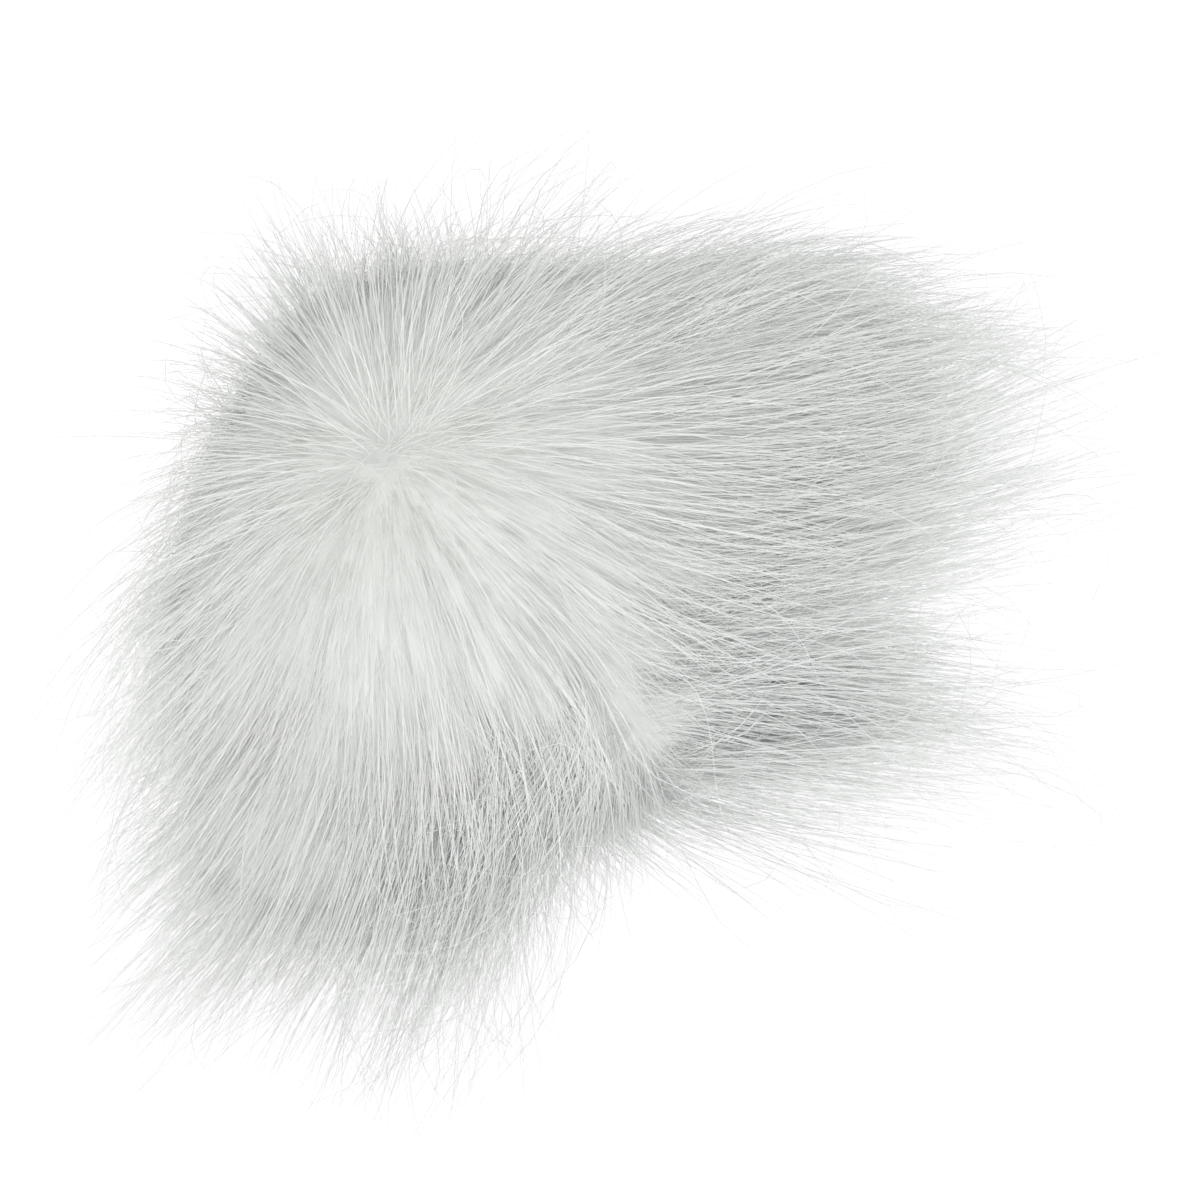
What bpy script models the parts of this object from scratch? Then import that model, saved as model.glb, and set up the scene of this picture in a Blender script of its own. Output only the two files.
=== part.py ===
"""A long-pile fur pom pom, lying on the small flat spot under its ball.

One solid: the packed pile, with its larger tufts standing out of it as tapered locks.
The pile parts at a crown near the top. Every lock leans away from that crown, droops
as it grows, and lies along the floor where it would have gone through it.
Metres, +Z up, +X to the long side of the pile; the origin is the middle of the flat spot.
"""

import math
import random
from collections import namedtuple

import bmesh
import bpy
import numpy as np
from mathutils import Vector, noise

# The packed pile, before its swells
BALL_SIZE = Vector((0.083, 0.077, 0.078))
BALL_CENTRE = Vector((0.0, 0.0, 0.0365))
BALL_SUBDIVISIONS = 4
FULLNESS_BELOW = 2.5  # 2 is an ellipsoid, and more makes the lower half squarer
LUMP_DEPTH = 0.0012
LUMP_PITCH = 0.016

# Where the pile parts; azimuth 0 is +X and 90 is +Y, in degrees
CROWN_AZIMUTH = 222.0
CROWN_ELEVATION = 62.0
CROWN_WIDTH = 24.0

# The locks
LOCK_LIMIT = 300
LOCK_SEED = 8
ROOT_PITCH = 0.0060
ROOT_RADIUS = 0.0020
LEAST_ROUNDNESS = 0.28  # of a root face: its inner radius against its furthest corner
INSET_LIMIT = 0.6  # of that inner radius
LEAST_ROOM = 0.0009  # and the inner radius itself
LOWEST_ROOT = 0.0030
LOWEST_FACING = -0.55  # of a root face's normal in z, so that no lock is caught underneath
LOCK_GAP = 0.0009
LOCK_LEAN = 54.0  # degrees from straight out, away from the crown
LOCK_LENGTH = 0.016
LENGTH_SPREAD = 0.28
LOW_BAND = 0.024
SHORTER_UNDER = 0.5
DROOP = 14.0  # how fast a lock's heading falls, for each metre of its length
SETTLE_BELOW = 0.0008  # a ring this near the floor is set down on it
LINE_STEPS = 18
SAMPLES = 28

# Rings of a lock: the step of its line, and the width against the root
Ring = namedtuple("Ring", "step width")
RINGS = (Ring(4, 0.84), Ring(10, 0.50), Ring(LINE_STEPS, 0.0))
CORNER_STEPS = [0] + [ring.step for ring in RINGS]
RING_WIDTHS = np.interp(
    range(LINE_STEPS + 1), CORNER_STEPS, [1.0] + [ring.width for ring in RINGS]
)

# The swells of the pile: where each points from the ball's centre, how wide it is,
# how far it lifts the packed pile, and how much longer it makes the locks
Swell = namedtuple("Swell", "name azimuth elevation width lift longer")
SWELLS = (
    Swell("long side", 15.0, 18.0, 31.0, 0.0237, 0.006),
    Swell("end of the long side", 23.0, 2.0, 40.0, 0.0031, 0.006),
    Swell("low front of the long side", 0.0, -30.0, 22.0, 0.0185, 0.010),
    Swell("wisps of the front right", -18.0, 0.0, 26.0, 0.0, 0.018),
    Swell("front left", 237.0, -40.0, 22.0, 0.0273, 0.012),
    Swell("front", 270.0, -40.0, 24.0, 0.0, 0.024),
    Swell("left", 209.0, 0.0, 24.0, 0.0070, 0.006),
    Swell("back left", 116.0, 30.0, 22.0, 0.0042, 0.0),
    Swell("tuft of the back left", 139.0, 36.0, 14.0, 0.0, 0.008),
    Swell("back", 61.0, 10.0, 43.0, 0.0035, 0.003),
    Swell("dip of the front right", 323.0, 0.0, 40.0, -0.0100, 0.0),
)

FUR_COLOUR = (0.86, 0.87, 0.86, 1.0)


def direction(azimuth, elevation):
    """Unit vector at these angles, in degrees."""
    a, e = math.radians(azimuth), math.radians(elevation)
    return Vector((math.cos(e) * math.cos(a), math.cos(e) * math.sin(a), math.sin(e)))


CROWN = direction(CROWN_AZIMUTH, CROWN_ELEVATION)


def swell_share(swell, towards):
    """1 where the swell points, falling smoothly to 0 away from it."""
    angle = math.degrees(towards.angle(direction(swell.azimuth, swell.elevation)))
    return math.exp(-((angle / swell.width) ** 2))


def ball_point(towards):
    """A point of the packed pile's surface, in this direction from the ball's centre."""
    across, along, up = (2.0 * towards[i] / BALL_SIZE[i] for i in range(3))
    fullness = 2.0 if up > 0.0 else FULLNESS_BELOW
    plain = (math.hypot(across, along) ** fullness + abs(up) ** fullness) ** (-1.0 / fullness)
    lift = sum(swell.lift * swell_share(swell, towards) for swell in SWELLS)
    lump = LUMP_DEPTH * noise.noise(towards * (BALL_SIZE.x / 2.0 / LUMP_PITCH))
    point = BALL_CENTRE + towards * (plain + lump)
    point += Vector((towards.x, towards.y, max(towards.z, 0.0))) * lift
    point.z = max(point.z, 0.0)
    return point


def lowness(towards):
    """1 for a root on the floor, 0 from LOW_BAND up."""
    return max(0.0, 1.0 - ball_point(towards).z / LOW_BAND)


def lock_length(towards):
    """Length of a lock rooted in this direction, uneven from one to the next."""
    longer = sum(swell.longer * swell_share(swell, towards) for swell in SWELLS)
    uneven = 1.0 + LENGTH_SPREAD * noise.noise(towards * 11.0)
    return (LOCK_LENGTH + longer) * uneven * (1.0 - SHORTER_UNDER * lowness(towards))


def combed(towards, facing):
    """Heading of a lock at its root: straight out at the crown, leaning away round it,
    and level where it is low."""
    away = towards - CROWN * towards.dot(CROWN)
    away = (away - facing * away.dot(facing)).normalized()
    turned = math.degrees(towards.angle(CROWN))
    lean = math.radians(LOCK_LEAN) * (1.0 - math.exp(-turned / CROWN_WIDTH))
    heading = facing * math.cos(lean) + away * math.sin(lean)
    level = Vector((towards.x, towards.y, 0.0)).normalized()
    return heading.lerp(level, lowness(towards)).normalized()


def lock_line(root, heading, length):
    """Middle line of a lock, drooping as it grows and lying on the pile or the floor."""
    step = length / LINE_STEPS
    line = [root]
    for number in range(1, LINE_STEPS + 1):
        heading = (heading - Vector((0.0, 0.0, DROOP * step))).normalized()
        point = line[-1] + heading * step
        height = ROOT_RADIUS * RING_WIDTHS[number] * min(1.0, number / RINGS[0].step)
        towards = (point - BALL_CENTRE).normalized()
        resting = ball_point(towards) + towards * (height + LOCK_GAP)
        if (point - resting).dot(towards) < 0.0:
            point = resting
        point.z = max(point.z, height)
        heading = (point - line[-1]).normalized()
        line.append(point)
    return line


def face_reach(face):
    """Distance from a face's middle to its furthest corner."""
    middle = face.calc_center_median()
    return max((v.co - middle).length for v in face.verts)


def inner_radius(face):
    """Radius of the circle inside a three-sided face."""
    return 2.0 * face.calc_area() / face.calc_perimeter()


def root_inset(face):
    """How far to inset a root face for a lock of ROOT_RADIUS, short of turning it over."""
    return min((face_reach(face) - ROOT_RADIUS) / 2.0, INSET_LIMIT * inner_radius(face))


def holds_root(face):
    """Whether a face is off the floor, not turned to it, wide enough and even-sided."""
    if face.calc_center_median().z < LOWEST_ROOT or face.normal.z < LOWEST_FACING:
        return False
    least = max(LEAST_ROOM, LEAST_ROUNDNESS * face_reach(face))
    return inner_radius(face) > least


def lock_samples(face, line):
    """Evenly spaced places along a lock's straight runs: x, y, z and half its thickness."""
    at = np.linspace(0, LINE_STEPS, SAMPLES)
    root_reach = face_reach(face) - 2.0 * root_inset(face)
    thickness = [root_reach] + [ROOT_RADIUS * ring.width for ring in RINGS]
    rows = [*zip(*[line[step] for step in CORNER_STEPS]), thickness]
    return np.column_stack([np.interp(at, CORNER_STEPS, row) for row in rows])


def stands_clear(samples, standing):
    """Whether a lock of these samples keeps its gap to the standing ones."""
    if not standing:
        return True
    others = np.array(standing)
    apart = np.linalg.norm(samples[:, None, None, :3] - others[None, :, :, :3], axis=3)
    room = apart - samples[:, None, None, 3] - others[None, :, :, 3]
    roots_apart = apart[0, :, 0].min()
    return room.min() > LOCK_GAP and roots_apart > ROOT_PITCH


def choose_locks(faces):
    """Root faces, each with the line of its lock, spread over the ball."""
    shuffled = [face for face in faces if holds_root(face)]
    random.Random(LOCK_SEED).shuffle(shuffled)
    chosen, standing = [], []
    for face in shuffled:
        root = face.calc_center_median()
        towards = (root - BALL_CENTRE).normalized()
        line = lock_line(root, combed(towards, face.normal), lock_length(towards))
        samples = lock_samples(face, line)
        if stands_clear(samples, standing):
            chosen.append((face, line))
            standing.append(samples)
    return chosen[:LOCK_LIMIT]


def grow_lock(bm, face, line):
    """Extrudes a root face along the line, tapering it to a point."""
    middle = face.calc_center_median()
    facing = face.normal.copy()
    for ring in RINGS:
        face = bmesh.ops.extrude_discrete_faces(bm, faces=[face])["faces"][0]
        place = line[ring.step]
        if ring.width == 0.0:
            bmesh.ops.pointmerge(bm, verts=face.verts[:], merge_co=place)
            return
        ahead = (facing + (place - middle).normalized()).normalized()
        turn = facing.rotation_difference(ahead)
        shrink = ring.width * ROOT_RADIUS / face_reach(face)
        for v in face.verts:
            v.co = place + turn @ (v.co - middle) * shrink
        lowest = min(v.co.z for v in face.verts)
        settle = Vector((0.0, 0.0, -lowest if lowest < SETTLE_BELOW else 0.0))
        bmesh.ops.translate(bm, verts=face.verts[:], vec=settle)
        middle = place + settle
        facing = ahead


def pompom_mesh():
    bm = bmesh.new()
    bmesh.ops.create_icosphere(bm, subdivisions=BALL_SUBDIVISIONS, radius=1.0)
    for v in bm.verts:
        v.co = ball_point(v.co.normalized())
    bm.normal_update()
    locks = choose_locks(bm.faces)
    for face, line in locks:
        bmesh.ops.inset_individual(bm, faces=[face], thickness=root_inset(face))
        grow_lock(bm, face, line)
    print(len(locks), "locks")
    mesh = bpy.data.meshes.new("pompom")
    bm.to_mesh(mesh)
    bm.free()
    return mesh


def fur_material():
    material = bpy.data.materials.new("white_fur")
    material.use_nodes = True
    shader = material.node_tree.nodes["Principled BSDF"]
    shader.inputs["Base Color"].default_value = FUR_COLOUR
    shader.inputs["Roughness"].default_value = 0.7
    shader.inputs["Metallic"].default_value = 0.0
    return material


def main():
    for old in list(bpy.data.objects):
        bpy.data.objects.remove(old)
    mesh = pompom_mesh()
    mesh.shade_smooth()
    mesh.set_sharp_from_angle(angle=math.radians(50.0))
    mesh.materials.append(fur_material())
    parts = bpy.data.collections.new("pompom_parts")
    bpy.context.scene.collection.children.link(parts)
    parts.objects.link(bpy.data.objects.new("fur_pompom", mesh))


main()
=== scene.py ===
import math

import bmesh
import bpy
import numpy as np
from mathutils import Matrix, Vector, kdtree


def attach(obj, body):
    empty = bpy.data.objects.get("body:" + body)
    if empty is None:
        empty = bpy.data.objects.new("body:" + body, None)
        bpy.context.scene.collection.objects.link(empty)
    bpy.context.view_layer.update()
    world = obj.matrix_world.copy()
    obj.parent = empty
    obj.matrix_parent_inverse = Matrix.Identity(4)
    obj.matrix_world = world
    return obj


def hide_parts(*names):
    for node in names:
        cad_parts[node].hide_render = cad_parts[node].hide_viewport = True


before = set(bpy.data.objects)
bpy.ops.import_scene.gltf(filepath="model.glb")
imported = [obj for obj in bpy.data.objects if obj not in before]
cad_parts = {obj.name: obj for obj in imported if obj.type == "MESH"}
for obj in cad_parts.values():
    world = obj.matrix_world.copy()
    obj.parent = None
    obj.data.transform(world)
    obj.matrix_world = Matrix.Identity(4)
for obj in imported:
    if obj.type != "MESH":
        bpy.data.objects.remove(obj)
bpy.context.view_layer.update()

# White fur pom pom: a soft undercoat and 28,000 single fibres.
# Metres, +Z up, +X to the long side of the pile.

camera = {
    "azimuth": 0.0,
    "elevation": 42.0,
    "distance": 1.027,
    "lens": 220.0,
    "target": (0.0168, 0.0, 0.0301),
}


def makeCamera():
    azimuth, elevation = math.radians(camera["azimuth"]), math.radians(camera["elevation"])
    level = math.cos(elevation)
    back = Vector((math.sin(azimuth) * level, -math.cos(azimuth) * level, math.sin(elevation)))
    eye = bpy.data.objects.new("camera", bpy.data.cameras.new("camera"))
    eye.data.lens = camera["lens"]
    eye.data.sensor_width = 36.0
    eye.data.clip_start = 0.01
    eye.location = Vector(camera["target"]) + back * camera["distance"]
    eye.rotation_euler = back.to_track_quat("Z", "Y").to_euler()
    bpy.context.scene.collection.objects.link(eye)
    bpy.context.scene.camera = eye


makeCamera()
print("camera ready")


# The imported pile's skin, as in the solid but a little inside it: a ball with swells and dips
pile = {
    "size": (0.083, 0.077, 0.078),
    "centre": (0.0, 0.0, 0.0365),
    "inset": 0.0012,
    "fullnessBelow": 2.5,
    "lumpDepth": 0.0004,
    "lumpPitch": 0.34,
    "lumpSeed": 3,
    "normalStep": 0.06,
    "crown": (222.0, 62.0),  # where the pile parts, azimuth and elevation
    "crownWidth": 11.0,
    "lowBand": 0.024,
    # azimuth, elevation, width and lift of the skin
    "swells": (
        (15.0, 18.0, 31.0, 0.0233),
        (23.0, 2.0, 40.0, 0.0028),
        (0.0, -30.0, 22.0, 0.0158),
        (233.0, -40.0, 21.0, 0.0268),
        (209.0, 0.0, 24.0, 0.0072),
        (116.0, 30.0, 22.0, 0.0037),
        (61.0, 10.0, 43.0, 0.0042),
        (323.0, 0.0, 40.0, -0.0063),
        (2.0, -4.0, 12.0, -0.0047),
        (146.0, 32.0, 26.0, 0.0023),
        (90.0, 48.0, 26.0, 0.0018),
    ),
    # where the fibres run straight out of the ball, as at the end of the long side
    "brushes": (
        (10.0, 0.0, 34.0, 1.0),
        (237.0, -38.0, 26.0, 0.8),
        (270.0, -34.0, 22.0, 0.6),
        (205.0, -15.0, 26.0, 0.5),
        (139.0, 36.0, 12.0, 0.6),
    ),
    "reach": ((-0.077, -0.085, -1.0), (0.1105, 0.074, 0.103)),  # no fibre goes on past these
    "reachSpread": 0.008,
    "rise": 0.0098,  # how far the longest wisps stand out past the skin
    "riseLimits": (0.5, 1.6),
    "lowerRise": 0.3,  # how much of it is lost down at the floor
    "unevenRise": ((0.12, 0.55, 8), (0.10, 0.20, 9)),  # depth, pitch and seed
    # azimuth, elevation, width, extra rise of the wisps, extra wisps
    "wisps": (
        (0.0, 0.0, 14.0, 0.0165, 0.8),
        (10.0, 11.0, 14.0, 0.0047, 0.8),
        (21.0, 22.0, 14.0, 0.0007, 0.4),
        (55.0, 42.0, 20.0, 0.0028, 0.2),
        (90.0, 48.0, 20.0, 0.0038, 0.2),
        (139.0, 36.0, 11.0, 0.0110, 1.4),
        (165.0, 15.0, 18.0, 0.0040, 0.2),
        (201.0, -22.0, 15.0, 0.0060, 0.6),
        (222.0, -28.0, 13.0, 0.0018, 0.6),
        (240.0, -28.0, 13.0, 0.0018, 0.4),
        (268.0, -28.0, 12.0, 0.0175, 1.8),
        (305.0, -28.0, 12.0, 0.0026, 0.2),
        (326.0, -27.0, 13.0, 0.0190, 2.4),
        (341.0, -22.0, 13.0, 0.0160, 1.4),
    ),
    # azimuth, elevation, width and number of the curly stray hairs
    "strays": (
        (296.0, -34.0, 11.0, 30.0),
        (310.0, -26.0, 9.0, 20.0),
        (275.0, -30.0, 10.0, 28.0),
        (330.0, -14.0, 9.0, 8.0),
        (236.0, -34.0, 14.0, 6.0),
    ),
}


def aim(azimuth, elevation):
    a, e = math.radians(azimuth), math.radians(elevation)
    return np.array((math.cos(e) * math.cos(a), math.cos(e) * math.sin(a), math.sin(e)))


def unit(vectors):
    return vectors / np.maximum(np.linalg.norm(vectors, axis=-1, keepdims=True), 1e-12)


def dots(a, b):
    return np.sum(a * b, axis=-1, keepdims=True)


pileCentre = np.array(pile["centre"])
pileSize = np.array(pile["size"])
crown = aim(*pile["crown"])
swellAims = np.array([aim(s[0], s[1]) for s in pile["swells"]])
swellWidths, swellLifts = np.array([s[2:] for s in pile["swells"]]).T
wispAims = np.array([aim(w[0], w[1]) for w in pile["wisps"]])
wispWidths, wispRises, wispCounts = np.array([w[2:] for w in pile["wisps"]]).T
brushAims = np.array([aim(b[0], b[1]) for b in pile["brushes"]])
brushWidths, brushShares = np.array([b[2:] for b in pile["brushes"]]).T
strayAims = np.array([aim(s[0], s[1]) for s in pile["strays"]])
strayWidths, strayCounts = np.array([s[2:] for s in pile["strays"]]).T


waveCount = 14


# Smooth unevenness over the ball, from waves in fixed random directions
def ripples(towards, pitch, seed):
    rng = np.random.default_rng(seed)
    directions = unit(rng.normal(size=(waveCount, 3)))
    waves = directions * rng.uniform(0.7, 1.4, (waveCount, 1)) * 2.0 * math.pi / pitch
    shifts = rng.uniform(0.0, 2.0 * math.pi, waveCount)
    return np.sin(towards @ waves.T + shifts).sum(axis=-1) / math.sqrt(waveCount / 2)


# How near each direction is to each of some places: 1 there, falling smoothly to 0
def nearness(towards, places, widths):
    angles = np.degrees(np.arccos(np.clip(towards @ places.T, -1.0, 1.0)))
    return np.exp(-((angles / widths) ** 2))


def skinPoint(towards):
    scaled = 2.0 * towards / pileSize
    fullness = np.where(scaled[..., 2] > 0.0, 2.0, pile["fullnessBelow"])
    level = np.hypot(scaled[..., 0], scaled[..., 1])
    plain = (level**fullness + np.abs(scaled[..., 2]) ** fullness) ** (-1.0 / fullness)
    lumps = pile["lumpDepth"] * 0.5 * ripples(towards, pile["lumpPitch"], pile["lumpSeed"])
    plain = plain - pile["inset"] + lumps
    lift = nearness(towards, swellAims, swellWidths) @ swellLifts
    upwards = np.array((0.0, 0.0, 1.0)) * np.maximum(towards[..., 2:], 0.0)
    out = towards * np.array((1.0, 1.0, 0.0)) + upwards
    point = pileCentre + towards * plain[..., None] + out * lift[..., None]
    point[..., 2] = np.maximum(point[..., 2], 0.0)
    return point


def skinNormal(towards):
    side = unit(np.cross(towards, (0.36, 0.48, 0.8)))
    ahead = np.cross(towards, side)
    step = pile["normalStep"]
    across = skinPoint(unit(towards + side * step)) - skinPoint(unit(towards - side * step))
    along = skinPoint(unit(towards + ahead * step)) - skinPoint(unit(towards - ahead * step))
    return unit(np.cross(across, along))


def brushed(towards):
    return np.minimum(nearness(towards, brushAims, brushWidths) @ brushShares, 1.0)


def lowness(heights):
    return np.clip(1.0 - heights / pile["lowBand"], 0.0, 1.0)


def nearCrown(towards, width):
    turned = np.degrees(np.arccos(np.clip(towards @ crown, -1.0, 1.0)))
    return np.exp(-((turned / width) ** 2))


def wispRise(towards, heights):
    rise = pile["rise"] + nearness(towards, wispAims, wispWidths) @ wispRises
    uneven = 1.0
    for depth, pitch, seed in pile["unevenRise"]:
        uneven = uneven + depth * ripples(towards, pitch, seed)
    uneven = np.clip(uneven, *pile["riseLimits"])
    return rise * uneven * (1.0 - pile["lowerRise"] * lowness(heights))


# Heading of a fibre at its root: leaning away from the crown, straight out in the brushes,
# and level where it is low
def combed(towards, facing, heights, lean):
    away = towards - crown * dots(towards, crown)
    away = unit(away - facing * dots(away, facing))
    turned = np.degrees(np.arccos(np.clip(towards @ crown, -1.0, 1.0)))
    angle = np.radians(lean) * (1.0 - np.exp(-turned / pile["crownWidth"]))
    heading = facing * np.cos(angle)[:, None] + away * np.sin(angle)[:, None]
    straight = brushed(towards)[:, None]
    heading = unit(heading * (1.0 - straight) + towards * straight)
    level = unit(towards * np.array((1.0, 1.0, 0.0)))
    low = lowness(heights)[:, None]
    return unit(heading * (1.0 - low) + level * low)


# The outermost fibres and the crown are set darker to even out this studio's light
furFinish = {
    "paintedCrownShade": (0.893, 0.904, 0.881, 1.0),  # painted shade round the crown, where the pile opens
    "paintedCrownShadeWidth": 62.0,
    # From the inner colour to the outer one: roots and inner fibres painted lighter, tips and outer
    # fibres darker, painted light and shade that even out the studio's light
    "inner": (0.985, 0.992, 0.985, 1.0),
    "outer": (0.900, 0.912, 0.902, 1.0),
    "ridges": (0.935, 0.946, 0.935, 1.0),  # of the undercoat
    "uneven": 0.3,
    # how much darker each fibre turns towards its tip: painted shade
    "tipShade": 0.2,
    "roughness": 0.55,
}
undercoat = {
    "depth": 0.0020,
    "ridges": 0.0003,
    "ridgePitch": 0.09,
    "ridgeStretch": 0.15,
    "ridgeSeed": 21,
    "fineness": 5,
    "offFloor": 0.0006,
}


def moveVerts(mesh, places):
    mesh.vertices.foreach_set("co", np.ascontiguousarray(places, dtype=np.float32).ravel())
    mesh.update()


def vertPlaces(mesh):
    places = np.empty(len(mesh.vertices) * 3, dtype=np.float32)
    mesh.vertices.foreach_get("co", places)
    return places.reshape(-1, 3).astype(float)


def vertNormals(mesh):
    normals = np.empty(len(mesh.vertices) * 3, dtype=np.float32)
    mesh.vertices.foreach_get("normal", normals)
    return normals.reshape(-1, 3).astype(float)


def makeBall(name, subdivisions):
    bm = bmesh.new()
    bmesh.ops.create_icosphere(bm, subdivisions=subdivisions, radius=1.0)
    mesh = bpy.data.meshes.new(name)
    bm.to_mesh(mesh)
    bm.free()
    return mesh


# Turn round the crown and distance from it, as three numbers with no seam
def flowPlaces(towards):
    away = unit(towards - crown * dots(towards, crown))
    turned = np.arccos(np.clip(towards @ crown, -1.0, 1.0))
    side = unit(np.cross(crown, (0.0, 0.0, 1.0)))
    ahead = np.cross(side, crown)
    return np.column_stack((away @ side, away @ ahead, turned))


def addAttribute(mesh, name, kind, values):
    layer = mesh.attributes.new(name, kind, "POINT")
    field = "vector" if kind == "FLOAT_VECTOR" else "value"
    layer.data.foreach_set(field, np.ascontiguousarray(values, dtype=np.float32).ravel())


skin = makeBall("skin", undercoat["fineness"])
skinTowards = unit(vertPlaces(skin))
moveVerts(skin, skinPoint(skinTowards))


def makeUndercoat():
    mesh = skin.copy()
    mesh.name = "undercoat"
    flow = flowPlaces(skinTowards)
    stretch = np.array((1.0, 1.0, undercoat["ridgeStretch"]))
    streaks = ripples(flow * stretch, undercoat["ridgePitch"], undercoat["ridgeSeed"])
    depth = undercoat["depth"] + undercoat["ridges"] * streaks
    places = vertPlaces(skin) - vertNormals(skin) * depth[:, None]
    places[:, 2] = np.maximum(places[:, 2], undercoat["offFloor"])
    moveVerts(mesh, places)
    addAttribute(mesh, "flow", "FLOAT_VECTOR", flow)
    # how near the crown each point lies, for the painted shade there
    addAttribute(mesh, "paintedCrownShade", "FLOAT", nearCrown(skinTowards, furFinish["paintedCrownShadeWidth"]))
    mesh.shade_smooth()
    piece = bpy.data.objects.new("undercoat", mesh)
    bpy.context.scene.collection.objects.link(piece)
    return piece


undercoatPiece = makeUndercoat()
print("undercoat ready")


# "rise" is how far fibres may stand out past the skin, as a share of the wisps' rise there.
# The same draw sets "stiff", how far they run before they turn with the skin, so the ones that
# lie close are the ones that end close.
fibres = {
    "pile_inner": dict(
        count=4800, tufts=2200, rings=5, seed=11, shade=0.0, width=0.00013, lean=(66, 82),
        depth=(0.0020, 0.0034), wispy=0.0, length=(0.030, 0.042), layer=(0.0, 0.0010),
        rise=(0.02, 0.14), stiff=(0.0015, 0.003), power=1.0, gather=(0.0, 0.15), curl=3.0,
    ),
    "pile_outer_a": dict(
        count=4800, tufts=1500, rings=6, seed=13, shade=0.2, width=0.00011, lean=(64, 80),
        depth=(0.0020, 0.0034), wispy=0.0, length=(0.030, 0.042), layer=(0.0004, 0.0018),
        rise=(0.04, 0.35), stiff=(0.0015, 0.006), power=1.5, gather=(0.0, 0.25), curl=4.0,
    ),
    "pile_outer_b": dict(
        count=5700, tufts=1200, rings=6, seed=14, shade=0.5, width=0.00012, lean=(60, 76),
        depth=(0.0020, 0.0034), wispy=0.3, length=(0.030, 0.042), layer=(0.0006, 0.0030),
        rise=(0.08, 0.85), stiff=(0.003, 0.030), power=1.6, gather=(0.0, 0.35), curl=3.5,
    ),
    "pile_wisps_a": dict(
        count=5700, tufts=520, rings=6, seed=15, shade=0.8, width=0.00014, lean=(52, 72),
        depth=(0.0018, 0.0030), wispy=1.0, length=(0.032, 0.044), layer=(0.0010, 0.0050),
        rise=(0.20, 1.60), stiff=(0.010, 0.075), power=1.3, gather=(0.25, 0.75), curl=4.0,
    ),
    "pile_wisps_b": dict(
        count=5700, tufts=900, rings=6, seed=16, shade=0.8, width=0.00012, lean=(46, 72),
        depth=(0.0018, 0.0030), wispy=1.0, length=(0.030, 0.044), layer=(0.0010, 0.0050),
        rise=(0.25, 2.30), stiff=(0.010, 0.110), power=1.7, gather=(0.0, 0.6), curl=8.0,
    ),
    "pile_strays": dict(
        count=1300, tufts=200, rings=9, seed=17, shade=0.9, width=0.00012, lean=(40, 70),
        depth=(0.0018, 0.0030), wispy=0.0, stray=1.0, length=(0.026, 0.040), layer=(0.0010, 0.0050),
        rise=(0.80, 2.60), stiff=(0.020, 0.090), power=1.0, gather=(0.0, 0.25), curl=45.0,
        swirl=90.0,
    ),
}
lie = {
    "steps": 12,
    "droop": 7.0,  # how fast a heading falls, for each metre
    "splay": 60.0,  # and how fast it turns level near the floor
    "floorRest": (0.0001, 0.0014),
    "lowestRoot": 0.0015,
    "hug": 1.3,
    "relax": 0.006,
    "steepest": 0.35,
    "hang": 0.004,
    "straightOut": 0.030,  # longer runs before turning with the skin, in the brushes
    "tip": 0.25,
    "jitter": 0.05,
    "wispSpread": 1.8,
    "crownSpread": 16.0,
    "crownExtra": 1.7,
    "crownMess": 0.16,
    "crownShorter": 0.35,
    "leastShare": 0.12,
}


# Evenly spread roots: by area over the skin's faces, more of them at the crown and where
# there are more wisps or strays
def rootPlaces(rng, count, setting):
    skin.calc_loop_triangles()
    corners = np.empty(len(skin.loop_triangles) * 3, dtype=np.int32)
    skin.loop_triangles.foreach_get("vertices", corners)
    places = vertPlaces(skin)[corners.reshape(-1, 3)]
    spans = np.cross(places[:, 1] - places[:, 0], places[:, 2] - places[:, 0])
    areas = np.linalg.norm(spans, axis=1)
    towards = unit(places.mean(axis=1) - pileCentre)
    crowded = 1.0 + lie["crownExtra"] * nearCrown(towards, lie["crownSpread"])
    wisps = nearness(towards, wispAims, lie["wispSpread"] * wispWidths) @ wispCounts
    strays = nearness(towards, strayAims, strayWidths) @ strayCounts
    crowded = crowded + setting["wispy"] * wisps
    crowded = crowded + setting.get("stray", 0.0) * strays
    edges = np.cumsum(areas * crowded)
    picks = np.searchsorted(edges, (np.arange(count) + rng.random(count)) / count * edges[-1])
    picks = np.minimum(picks, len(areas) - 1)
    a, b = rng.random((2, count, 1))
    flip = a + b > 1.0
    a, b = np.where(flip, 1.0 - a, a), np.where(flip, 1.0 - b, b)
    corner = places[picks]
    spots = corner[:, 0] + (corner[:, 1] - corner[:, 0]) * a + (corner[:, 2] - corner[:, 0]) * b
    return spots, unit(spans[picks])


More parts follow.
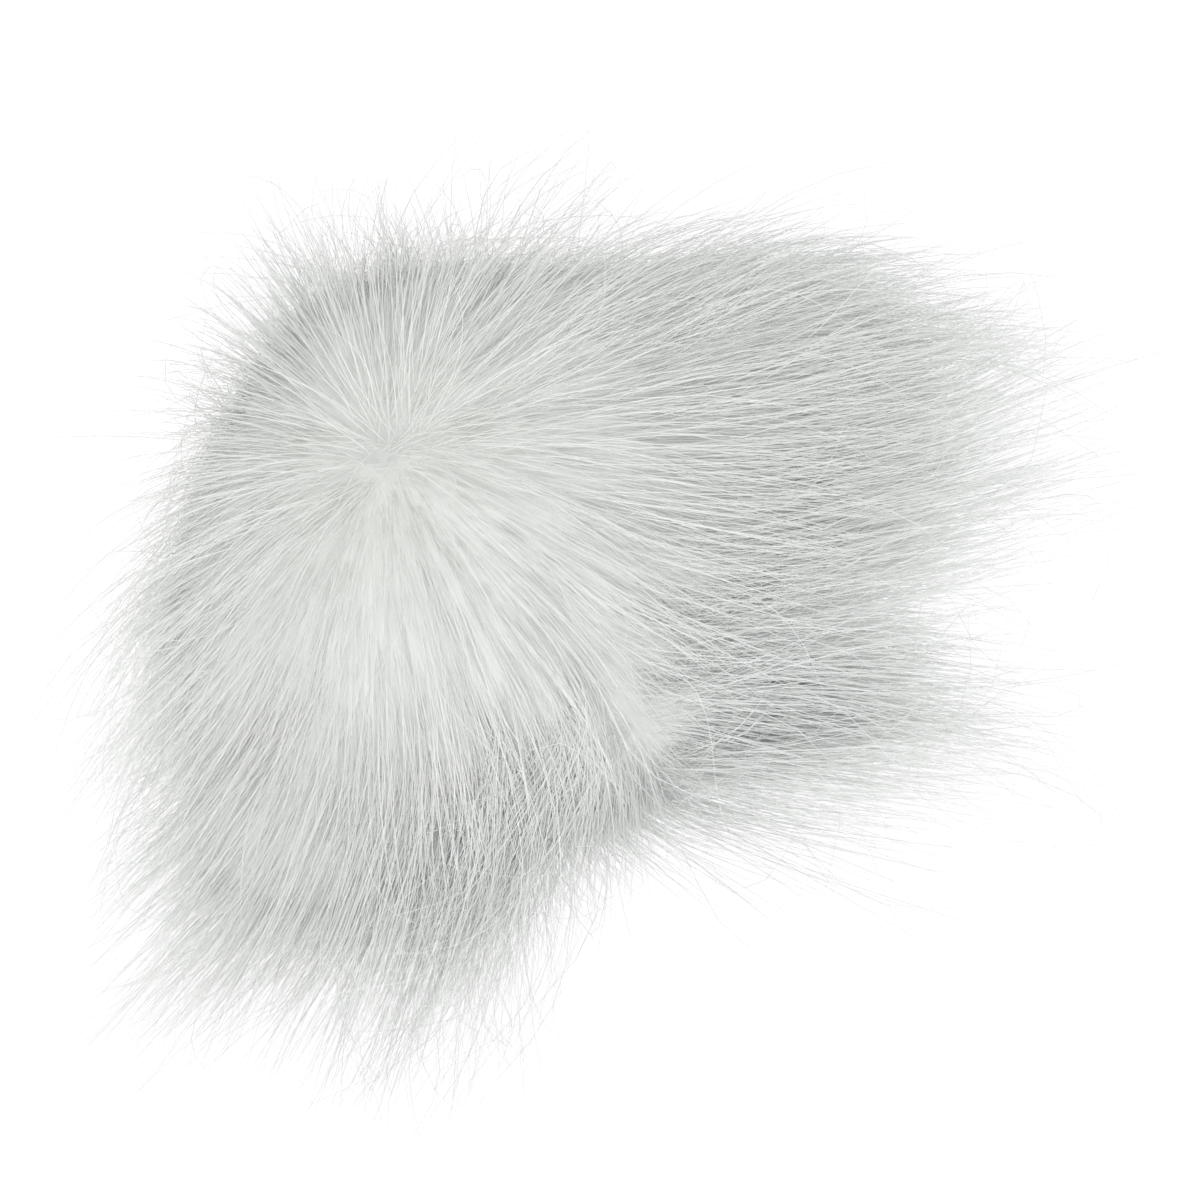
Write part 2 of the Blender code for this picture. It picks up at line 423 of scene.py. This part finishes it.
# Lines of many fibres at once: from the root outwards, turning with the skin as far as each
# one's stiffness lets it
def fibreLines(rng, setting, roots, facing, lengths, stiff):
    count = len(roots)
    towards = unit(roots - pileCentre)
    atCrown = nearCrown(towards, lie["crownSpread"])[:, None]
    heading = combed(towards, facing, roots[:, 2], rng.uniform(*setting["lean"], count))
    mess = lie["jitter"] + lie["crownMess"] * atCrown
    heading = unit(heading + rng.normal(0.0, 1.0, (count, 3)) * mess)
    curl = rng.normal(0.0, setting["curl"], (2, count, 3))
    swirl = setting.get("swirl", 0.0) * lengths[:, None]
    rest = rng.uniform(*lie["floorRest"], count)
    depths = rng.uniform(*setting["depth"], count)
    layers = rng.uniform(*setting["layer"], count)
    point = roots - facing * depths[:, None]
    point[:, 2] = np.maximum(point[:, 2], lie["lowestRoot"])
    line = [point]
    straight = brushed(towards)
    step = (lengths / lie["steps"])[:, None]
    for number in range(1, lie["steps"] + 1):
        along = number / lie["steps"]
        towards = unit(point - pileCentre)
        surface = skinPoint(towards)
        normal = skinNormal(towards)
        height = dots(point - surface, normal)[:, 0]
        lowest = -depths * (1.0 - along) ** lie["hug"]
        slope = (lowest + layers * along - height) / lie["relax"]
        slope = np.clip(slope, -lie["steepest"], lie["steepest"])
        tangent = unit(heading - normal * dots(heading, normal))
        follow = unit(tangent + normal * slope[:, None])
        under = np.clip(0.1 - 2.0 * towards[:, 2], 0.0, 1.0)
        slack = stiff + lie["hang"] * under + lie["straightOut"] * straight
        hold = 1.0 - np.exp(-step[:, 0] / slack)
        heading = heading * (1.0 - hold)[:, None] + follow * hold[:, None]
        level = unit(towards * np.array((1.0, 1.0, 0.0)))
        pull = curl[0] * np.cos(swirl * along) + curl[1] * np.sin(swirl * along)
        pull = pull * min(1.0, 2.0 * along) - np.array((0.0, 0.0, lie["droop"]))
        low = lowness(point[:, 2])[:, None]
        heading = unit(heading + (pull + level * lie["splay"] * low) * step)
        place = point + heading * step
        towards = unit(place - pileCentre)
        short = lowest - dots(place - skinPoint(towards), towards)[:, 0]
        place = place + towards * np.maximum(short, 0.0)[:, None]
        place[:, 2] = np.maximum(place[:, 2], rest)
        heading = unit(place - point)
        point = point + heading * step
        point[:, 2] = np.maximum(point[:, 2], rest)
        line.append(point)
    return np.stack(line, axis=1)


# Share of each line that keeps within its rise over the skin, and within the pile's whole reach
def keptShare(rng, lines, shares):
    towards = unit(lines - pileCentre)
    heights = dots(lines - skinPoint(towards), towards) * dots(towards, skinNormal(towards))
    heights = heights[..., 0] / wispRise(towards, lines[..., 2])
    steps = lines.shape[1] - 1
    low, high = np.array(pile["reach"])
    shorter = pile["reachSpread"] * rng.random((len(lines), 1, 1))
    outside = ((lines < low + shorter) | (lines > high - shorter)).any(axis=2)
    heights = np.where(outside, shares[:, None] + 1.0, heights)
    over = heights > shares[:, None]
    over[:, 0] = False
    first = np.where(over.any(axis=1), over.argmax(axis=1), steps)
    rows = np.arange(len(lines))
    before, after = heights[rows, first - 1], heights[rows, first]
    part = np.clip((shares - before) / np.maximum(after - before, 1e-6), 0.0, 1.0)
    return np.maximum((first - 1 + part) / steps, lie["leastShare"])


def lineAt(lines, owners, spans):
    steps = lines.shape[1] - 1
    at = np.clip(spans, 0.0, 1.0) * steps
    low = np.minimum(at.astype(int), steps - 1)
    share = (at - low)[..., None]
    rows = owners[:, None]
    return lines[rows, low] * (1.0 - share) + lines[rows, low + 1] * share


# One closed three-sided spike, cut across into rings
def makeSpike(rings):
    bm = bmesh.new()
    bmesh.ops.create_cone(bm, cap_ends=True, segments=3, radius1=1.0, radius2=0.0, depth=1.0)
    bmesh.ops.translate(bm, verts=bm.verts, vec=(0.0, 0.0, 0.5))
    for ring in range(1, rings):
        bmesh.ops.bisect_plane(
            bm,
            geom=bm.verts[:] + bm.edges[:] + bm.faces[:],
            plane_co=(0.0, 0.0, ring / rings),
            plane_no=(0.0, 0.0, 1.0),
        )
    mesh = bpy.data.meshes.new("spike")
    bm.to_mesh(mesh)
    bm.free()
    return mesh


def repeatMesh(mesh, count, name):
    piece = bpy.data.objects.new(name, mesh)
    bpy.context.scene.collection.objects.link(piece)
    array = piece.modifiers.new("copies", "ARRAY")
    array.count = count
    array.use_relative_offset = False
    graph = bpy.context.evaluated_depsgraph_get()
    copies = bpy.data.meshes.new_from_object(piece.evaluated_get(graph))
    copies.name = name
    piece.modifiers.clear()
    piece.data = copies
    return piece


# Each fibre has its own cell of the UV square
def addUvs(mesh, count, around, ringOf, rings):
    cells = math.ceil(math.sqrt(count))
    corners = np.empty(len(mesh.loops), dtype=np.int32)
    mesh.loops.foreach_get("vertex_index", corners)
    starts = np.empty(len(mesh.polygons), dtype=np.int32)
    sizes = np.empty(len(mesh.polygons), dtype=np.int32)
    mesh.polygons.foreach_get("loop_start", starts)
    mesh.polygons.foreach_get("loop_total", sizes)
    perSpike = len(ringOf)
    owner = corners // perSpike
    local = corners % perSpike
    side = around[local].astype(float)
    ring = ringOf[local].astype(float)
    ordered = np.argsort(starts)
    face = np.repeat(ordered, sizes[ordered])
    # a face that spans sides 2 and 0 reads the last as 3; the root's cap takes a strip of its own
    isTip = ring == rings
    low = np.full(len(starts), 9.0)
    high = np.full(len(starts), -9.0)
    np.minimum.at(low, face[~isTip], side[~isTip])
    np.maximum.at(high, face[~isTip], side[~isTip])
    wraps = (low == 0.0) & (high == 2.0)
    cap = np.full(len(starts), -9.0)
    np.maximum.at(cap, face, ring)
    isCap = cap == 0.0
    side = np.where(wraps[face] & (side == 0.0) & ~isTip, 3.0, side)
    base = np.where(wraps, 2.0, low)
    side = np.where(isTip, base[face] + 0.5, side)
    u = 0.08 + 0.84 * side / 3.0
    v = 0.18 + 0.74 * ring / rings
    capSide = around[local]
    u = np.where(isCap[face], 0.1 + 0.4 * (capSide == 1) + 0.2 * (capSide == 2), u)
    v = np.where(isCap[face], 0.04 + 0.08 * (capSide == 2), v)
    uvs = np.column_stack(((owner % cells + u) / cells, (owner // cells + v) / cells))
    layer = mesh.uv_layers.new(name="OFBake")
    layer.uv.foreach_set("vector", np.ascontiguousarray(uvs, dtype=np.float32).ravel())


# The tufts' own lines, and a search tree of their roots
def makeTufts(setting):
    rng = np.random.default_rng(setting["seed"] + 100)
    count = setting["tufts"]
    roots, facing = rootPlaces(rng, count, setting)
    towards = unit(roots - pileCentre)
    draw = rng.random(count) ** setting["power"]
    stiff = np.interp(draw, (0.0, 1.0), setting["stiff"])
    shares = np.interp(draw, (0.0, 1.0), setting["rise"])
    longer = nearness(towards, wispAims, lie["wispSpread"] * wispWidths) @ wispRises
    lengths = setting["length"][1] + shares * longer
    lengths *= 1.0 - lie["crownShorter"] * nearCrown(towards, lie["crownSpread"])
    lines = fibreLines(rng, setting, roots, facing, lengths, stiff)
    tree = kdtree.KDTree(count)
    for number, root in enumerate(roots):
        tree.insert(root, number)
    tree.balance()
    return lines, lengths, stiff, shares, tree


# Middle lines of one piece's fibres, at the rings of their spikes
def growFibres(rng, setting):
    count = setting["count"]
    tuftLines, tuftLengths, tuftStiff, tuftShares, tree = makeTufts(setting)
    roots, facing = rootPlaces(rng, count, setting)
    owners = np.array([tree.find(root)[1] for root in roots])
    shortest = setting["length"][0] / setting["length"][1]
    lengths = tuftLengths[owners] * rng.uniform(shortest, 1.0, count)
    stiff = tuftStiff[owners] * rng.uniform(0.6, 1.2, count)
    lines = fibreLines(rng, setting, roots, facing, lengths, stiff)
    # gather towards the tuft's own line
    againstTuft = (lengths / tuftLengths[owners])[:, None]
    spans = np.linspace(0.0, 1.0, lie["steps"] + 1)[None, :] * againstTuft
    gather = rng.uniform(*setting["gather"], count)[:, None] * spans**1.2
    lines = lines * (1.0 - gather[..., None]) + lineAt(tuftLines, owners, spans) * gather[..., None]
    kept = keptShare(rng, lines, tuftShares[owners] * rng.uniform(0.6, 1.1, count))
    ringSpans = kept[:, None] * np.linspace(0.0, 1.0, setting["rings"] + 1)
    return lineAt(lines, np.arange(count), ringSpans)


def makeFibres(name, setting):
    rng = np.random.default_rng(setting["seed"])
    count, rings = setting["count"], setting["rings"]
    ringLines = growFibres(rng, setting)
    ahead = np.gradient(ringLines, axis=1)
    ahead = unit(ahead)
    hint = unit(rng.normal(size=(count, 1, 3)))
    across = unit(hint - ahead * dots(hint, ahead))
    along = np.cross(ahead, across)
    spike = makeSpike(rings)
    local = vertPlaces(spike)
    ringOf = np.rint(local[:, 2] * rings).astype(int)
    turn = np.arctan2(local[:, 1], local[:, 0])
    around = np.rint((turn - turn[0]) / (2.0 * math.pi / 3.0)).astype(int) % 3
    profile = np.interp(np.arange(rings + 1) / rings, (0.0, 0.6, 1.0), (1.0, 0.8, lie["tip"]))
    radii = setting["width"] / 2.0 * profile * rng.uniform(0.75, 1.25, (count, 1))
    radii[:, -1] = 0.0
    size = radii[:, ringOf, None]
    places = ringLines[:, ringOf] + size * (
        np.cos(turn)[None, :, None] * across[:, ringOf]
        + np.sin(turn)[None, :, None] * along[:, ringOf]
    )
    piece = repeatMesh(spike, count, name)
    moveVerts(piece.data, places.reshape(-1, 3))
    addUvs(piece.data, count, around, ringOf, rings)
    addAttribute(piece.data, "along", "FLOAT", np.tile(ringOf / rings, count))
    # per piece the outer ones are painted darker as shade, and each fibre's tone also differs at
    # random
    tonesAndShades = setting["shade"] + furFinish["uneven"] * rng.uniform(-0.5, 0.5, count)
    addAttribute(piece.data, "toneAndShade", "FLOAT", np.repeat(tonesAndShades, len(local)))
    towards = unit(places.reshape(-1, 3) - pileCentre)
    # how near the crown each point lies, for the painted shade there
    addAttribute(piece.data, "paintedCrownShade", "FLOAT", nearCrown(towards, furFinish["paintedCrownShadeWidth"]))
    return piece


fibrePieces = []
for name, setting in fibres.items():
    fibrePieces.append(makeFibres(name, setting))
    print(name, len(fibrePieces[-1].data.polygons), "faces")


def newMaterial(name):
    material = bpy.data.materials.new(name)
    material.use_nodes = True
    return material, material.node_tree.nodes, material.node_tree.links


# Blends the colour towards a darker one near the crown: painted shade that evens out the light
# there
def paintCrownShade(nodes, links, colour):
    paintedCrownShade = nodes.new("ShaderNodeAttribute")
    paintedCrownShade.attribute_name = "paintedCrownShade"
    mix = nodes.new("ShaderNodeMix")
    mix.data_type = "RGBA"
    byType = [socket for socket in mix.inputs if socket.type == "RGBA"]
    byType[1].default_value = furFinish["paintedCrownShade"]
    links.new(paintedCrownShade.outputs["Fac"], mix.inputs["Factor"])
    links.new(colour, byType[0])
    return [socket for socket in mix.outputs if socket.type == "RGBA"][0]


def makeFibreMaterial():
    material, nodes, links = newMaterial("fur fibre")
    shader = nodes["Principled BSDF"]
    toneAndShade = nodes.new("ShaderNodeAttribute")
    toneAndShade.attribute_name = "toneAndShade"
    along = nodes.new("ShaderNodeAttribute")
    along.attribute_name = "along"
    # towards the outer colour for the outer pieces and along to the tips: painted shade
    blend = nodes.new("ShaderNodeMath")
    blend.operation = "MULTIPLY_ADD"
    blend.inputs[1].default_value = furFinish["tipShade"]
    links.new(along.outputs["Fac"], blend.inputs[0])
    links.new(toneAndShade.outputs["Fac"], blend.inputs[2])
    ramp = nodes.new("ShaderNodeValToRGB")
    ramp.color_ramp.elements[0].color = furFinish["inner"]
    ramp.color_ramp.elements[1].color = furFinish["outer"]
    links.new(blend.outputs[0], ramp.inputs["Fac"])
    # then the painted shade round the crown
    links.new(paintCrownShade(nodes, links, ramp.outputs["Color"]), shader.inputs["Base Color"])
    shader.inputs["Roughness"].default_value = furFinish["roughness"]
    return material


undercoatStreaks = {
    "scale": (130.0, 130.0, 6.0),
    "detail": 4.0,
    "bump": 0.0003,
    "strength": 0.5,
    "roughness": 0.7,
}


def makeUndercoatMaterial():
    material, nodes, links = newMaterial("fur undercoat")
    shader = nodes["Principled BSDF"]
    flow = nodes.new("ShaderNodeAttribute")
    flow.attribute_name = "flow"
    mapping = nodes.new("ShaderNodeMapping")
    mapping.inputs["Scale"].default_value = undercoatStreaks["scale"]
    links.new(flow.outputs["Vector"], mapping.inputs["Vector"])
    noise = nodes.new("ShaderNodeTexNoise")
    noise.inputs["Scale"].default_value = 1.0
    noise.inputs["Detail"].default_value = undercoatStreaks["detail"]
    links.new(mapping.outputs["Vector"], noise.inputs["Vector"])
    ramp = nodes.new("ShaderNodeValToRGB")
    ramp.color_ramp.elements[0].position = 0.3
    ramp.color_ramp.elements[0].color = furFinish["ridges"]
    ramp.color_ramp.elements[1].position = 0.7
    ramp.color_ramp.elements[1].color = furFinish["inner"]
    links.new(noise.outputs["Fac"], ramp.inputs["Fac"])
    # then the painted shade round the crown, as on the fibres
    links.new(paintCrownShade(nodes, links, ramp.outputs["Color"]), shader.inputs["Base Color"])
    bump = nodes.new("ShaderNodeBump")
    bump.inputs["Distance"].default_value = undercoatStreaks["bump"]
    bump.inputs["Strength"].default_value = undercoatStreaks["strength"]
    links.new(noise.outputs["Fac"], bump.inputs["Height"])
    links.new(bump.outputs["Normal"], shader.inputs["Normal"])
    shader.inputs["Roughness"].default_value = undercoatStreaks["roughness"]
    return material


undercoatPiece.data.materials.append(makeUndercoatMaterial())
fibreMaterial = makeFibreMaterial()
for piece in fibrePieces:
    piece.data.materials.clear()
    piece.data.materials.append(fibreMaterial)
for piece in [undercoatPiece] + fibrePieces:
    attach(piece, "root")
    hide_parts("fur_pompom")
print("materials ready")


# Pale floor that hardly shows a shadow, and soft light from all round.
# The floor lights nothing itself, so that the pile's underside is no brighter than its top.
studio = {
    "floorColour": (0.15, 0.15, 0.15, 1.0),
    "floorGlow": 0.94,
    "floorSize": 3.0,
    "floorDrop": 0.0002,
    "sky": 0.635,
}
# azimuth, elevation, distance, size and power
lamps = {
    "front": (262.0, 16.0, 1.5, 1.0, 11.0),
    "right": (20.0, 22.0, 1.5, 1.0, 6.5),
    "back left": (130.0, 28.0, 1.5, 1.0, 3.5),
}


def makeFloor():
    bm = bmesh.new()
    bmesh.ops.create_grid(bm, x_segments=1, y_segments=1, size=studio["floorSize"])
    mesh = bpy.data.meshes.new("floor")
    bm.to_mesh(mesh)
    bm.free()
    material, nodes, links = newMaterial("floor")
    shader = nodes["Principled BSDF"]
    shader.inputs["Base Color"].default_value = studio["floorColour"]
    shader.inputs["Roughness"].default_value = 0.9
    shader.inputs["Specular IOR Level"].default_value = 0.0
    shader.inputs["Emission Color"].default_value = (1.0, 1.0, 1.0, 1.0)
    shader.inputs["Emission Strength"].default_value = studio["floorGlow"]
    mesh.materials.append(material)
    floor = bpy.data.objects.new("floor", mesh)
    floor.location.z = -studio["floorDrop"]
    floor.visible_diffuse = False
    floor.visible_glossy = False
    bpy.context.scene.collection.objects.link(floor)


def makeLight(name, azimuth, elevation, distance, size, power):
    lamp = bpy.data.lights.new(name, "AREA")
    lamp.size = size
    lamp.energy = power
    light = bpy.data.objects.new(name, lamp)
    back = Vector(aim(azimuth, elevation))
    light.location = back * distance
    light.rotation_euler = back.to_track_quat("Z", "Y").to_euler()
    bpy.context.scene.collection.objects.link(light)


def makeSky():
    world = bpy.data.worlds.new("sky")
    world.use_nodes = True
    background = world.node_tree.nodes["Background"]
    background.inputs["Color"].default_value = (1.0, 1.0, 1.0, 1.0)
    background.inputs["Strength"].default_value = studio["sky"]
    bpy.context.scene.world = world


makeFloor()
makeSky()
for name, setting in lamps.items():
    makeLight(name, *setting)
bpy.context.scene.view_settings.view_transform = "Standard"
print("studio ready")
